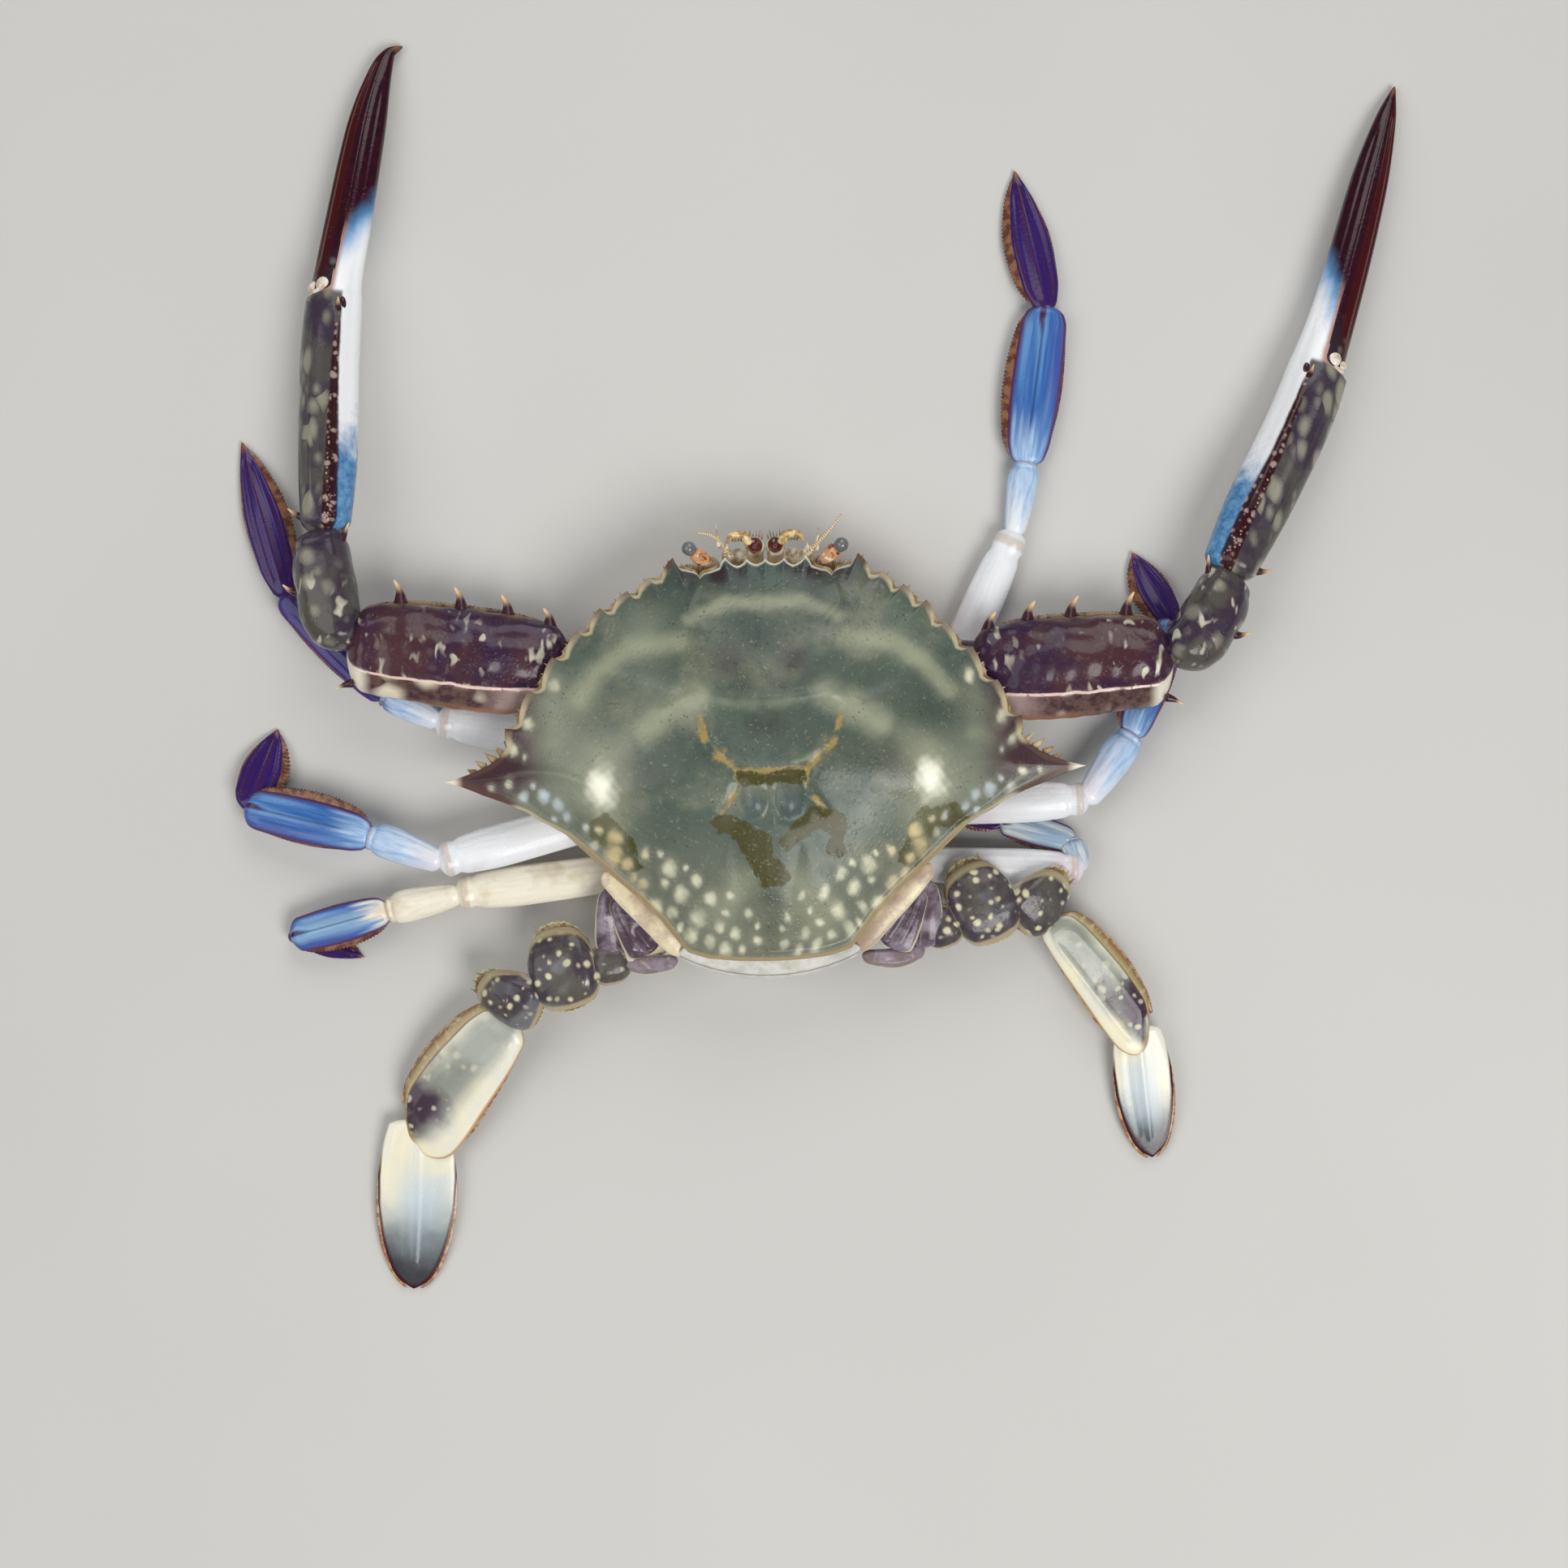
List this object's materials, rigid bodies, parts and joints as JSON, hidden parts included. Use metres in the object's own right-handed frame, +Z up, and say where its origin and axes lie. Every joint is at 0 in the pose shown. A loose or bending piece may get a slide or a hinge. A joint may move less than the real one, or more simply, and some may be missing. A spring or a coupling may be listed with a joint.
{
  "type": "blue swimming crab",
  "caption": "Swimming crab with a wide spined carapace, long clawed arms, walking legs and rear paddle legs, lying belly down with its limbs spread.",
  "frame": {"origin": "centre of the whole crab's box, on the floor it rests on", "axes": "+Z up from the floor; -Y ahead, towards the head; +X the animal's own left"},
  "size_m": [0.341, 0.3616, 0.048],
  "materials": {
    "carapace": "finely granular olive-green shell with cream mottling, wet sheen",
    "underside": "smooth pale cream shell with purple shading at the limb roots",
    "arm": "glossy dark purple shell with cream spots and blue inner faces",
    "leg": "glossy white to vivid blue shell with brown hair fringes",
    "swim": "glossy dark grey shell with cream spots and tan edges",
    "paddle": "thin satin white shell shading to blue-grey, dark at the tip",
    "cream_parts": "smooth cream to amber shell",
    "eyestalk": "amber shell with maroon spots",
    "eye": "polished grey cornea"
  },
  "bodies": {
    "root": {"abdomen": "cream_parts", "carapace": "carapace", "left_antenna": "cream_parts", "left_antennule": "cream_parts", "left_arm_carpus": "arm", "left_arm_dactylus": "arm", "left_arm_ischium": "arm", "left_arm_merus": "arm", "left_arm_propodus": "arm", "left_eye": "eye", "left_eyestalk": "eyestalk", "left_leg_1_carpus": "leg", "left_leg_1_dactylus": "leg", "left_leg_1_merus": "leg", "left_leg_1_propodus": "leg", "left_leg_2_carpus": "leg", "left_leg_2_dactylus": "leg", "left_leg_2_merus": "leg", "left_leg_2_propodus": "leg", "left_leg_3_carpus": "leg", "left_leg_3_dactylus": "leg", "left_leg_3_merus": "leg", "left_leg_3_propodus": "leg", "left_maxilliped": "cream_parts", "left_swim_base": "swim", "left_swim_carpus": "swim", "left_swim_merus": "swim", "left_swim_paddle": "paddle", "left_swim_propodus": "paddle", "right_antenna": "cream_parts", "right_antennule": "cream_parts", "right_arm_carpus": "arm", "right_arm_dactylus": "arm", "right_arm_ischium": "arm", "right_arm_merus": "arm", "right_arm_propodus": "arm", "right_eye": "eye", "right_eyestalk": "eyestalk", "right_leg_1_carpus": "leg", "right_leg_1_dactylus": "leg", "right_leg_1_merus": "leg", "right_leg_1_propodus": "leg", "right_leg_2_carpus": "leg", "right_leg_2_dactylus": "leg", "right_leg_2_merus": "leg", "right_leg_2_propodus": "leg", "right_leg_3_carpus": "leg", "right_leg_3_dactylus": "leg", "right_leg_3_merus": "leg", "right_leg_3_propodus": "leg", "right_maxilliped": "cream_parts", "right_swim_base": "swim", "right_swim_carpus": "swim", "right_swim_merus": "swim", "right_swim_paddle": "paddle", "right_swim_propodus": "paddle", "thorax": "underside"}
  },
  "joints": []
}
